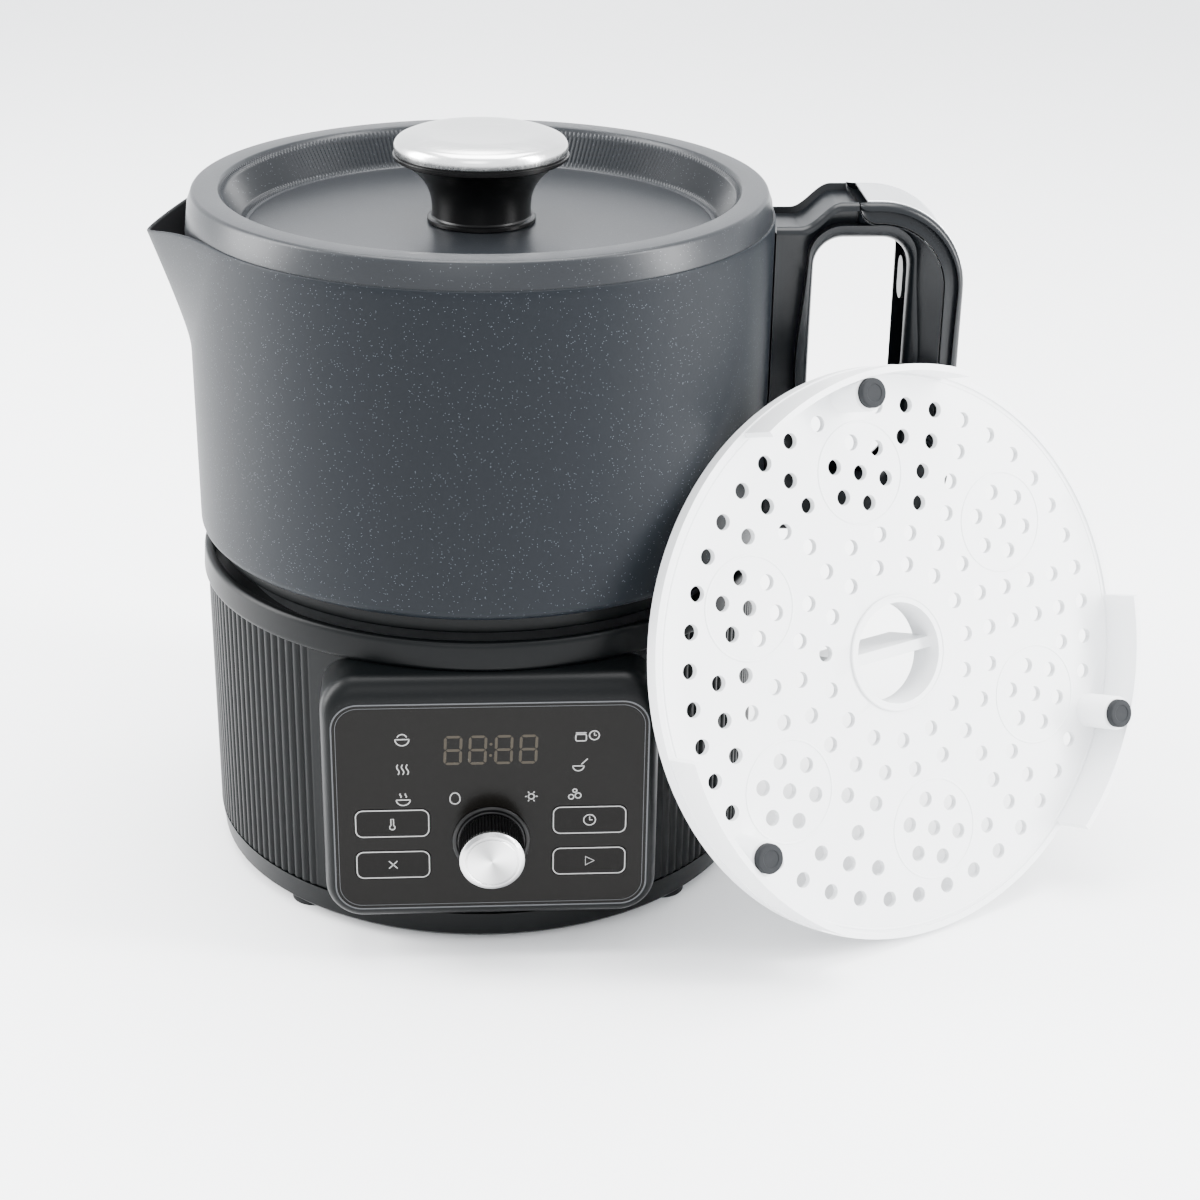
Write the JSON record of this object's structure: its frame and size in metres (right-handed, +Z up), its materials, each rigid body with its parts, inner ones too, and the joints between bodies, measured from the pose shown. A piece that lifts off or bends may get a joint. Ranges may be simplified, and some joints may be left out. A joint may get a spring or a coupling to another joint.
{
  "type": "egg cooker",
  "caption": "Electric cooker with a lift-off round pot, lid, loop handle and pouring spout on a fluted heated base, and a perforated steam tray leaning beside it.",
  "frame": {"origin": "on the pot's upright axis, at the height of the table that the feet stand on", "axes": "+X towards the handle, -X the spout, -Y the control panel, +Z up"},
  "size_m": [0.3218, 0.2163, 0.2381],
  "materials": {
    "pot_paint": "satin slate grey metallic with fine fleck",
    "lid_paint": "satin dark grey metallic with fine fleck",
    "black_plastic": "satin moulded black",
    "panel_gloss": "glossy smoked black",
    "handle_plastic": "satin dark slate",
    "inlay_metal": "brushed silver",
    "cap_steel": "circular brushed",
    "dial_metal": "spun",
    "heater_cast": "dark cast",
    "steel": "plain",
    "rubber_black": "matte",
    "rubber_grey": "matte",
    "silicone": "translucent grey silicone",
    "board_green": "circuit board",
    "white_plastic": "smooth moulded white"
  },
  "bodies": {
    "base": {"base_shell": "black_plastic", "top_ring": "black_plastic", "bottom_cover": "black_plastic", "base_feet": "rubber_black", "bottom_screws": "steel", "heater_plate": "heater_cast", "heater_collar": "steel", "heating_element": "steel", "temperature_sensor": "steel", "panel_bezel": "black_plastic", "panel_plate": "panel_gloss", "control_board": "board_green", "display_module": "panel_gloss", "encoder": "steel", "dial_ring": "black_plastic", "power_board": "board_green", "power_inlet": "black_plastic"},
    "dial": {"dial_shaft": "steel", "dial_body": "black_plastic", "dial_face": "dial_metal"},
    "pot": {"pot_shell": "pot_paint", "pot_locating_ring": "black_plastic", "handle_mount": "steel", "handle_frame": "handle_plastic", "handle_cover": "handle_plastic", "handle_inlay": "inlay_metal", "handle_screws": "steel", "handle_plugs": "handle_plastic"},
    "lid": {"lid_shell": "lid_paint", "lid_plate": "steel", "lid_seal": "silicone", "knob_stem": "black_plastic", "knob_flange": "black_plastic", "knob_cap": "cap_steel", "knob_screw": "steel"},
    "tray": {"tray": "white_plastic", "tray_feet": "rubber_grey"},
    "button_upper_left_body": {"button_upper_left": "panel_gloss"},
    "button_lower_left_body": {"button_lower_left": "panel_gloss"},
    "button_upper_right_body": {"button_upper_right": "panel_gloss"},
    "button_lower_right_body": {"button_lower_right": "panel_gloss"}
  },
  "joints": [
    {"name": "pot_lift", "type": "slide", "parent": "base", "child": "pot", "axis": [0, 0, 1], "range_m": [0, 0.16]},
    {"name": "lid_lift", "type": "slide", "parent": "pot", "child": "lid", "axis": [0, 0, 1], "range_m": [0, 0.1]},
    {"name": "dial_turn", "type": "hinge", "parent": "base", "child": "dial", "pos_m": [0, -0.1, 0.0422], "axis": [0, -1, 0], "continuous": true},
    {"name": "button_upper_left_press", "type": "slide", "parent": "base", "child": "button_upper_left_body", "axis": [0, 1, 0], "range_m": [0, 0.0008], "stiffness_N_per_m": 400},
    {"name": "button_lower_left_press", "type": "slide", "parent": "base", "child": "button_lower_left_body", "axis": [0, 1, 0], "range_m": [0, 0.0008], "stiffness_N_per_m": 400},
    {"name": "button_upper_right_press", "type": "slide", "parent": "base", "child": "button_upper_right_body", "axis": [0, 1, 0], "range_m": [0, 0.0008], "stiffness_N_per_m": 400},
    {"name": "button_lower_right_press", "type": "slide", "parent": "base", "child": "button_lower_right_body", "axis": [0, 1, 0], "range_m": [0, 0.0008], "stiffness_N_per_m": 400},
    {"name": "tray_away", "type": "slide", "parent": "base", "child": "tray", "axis": [0.4772, -0.8788, 0], "range_m": [0, 0.15]}
  ]
}
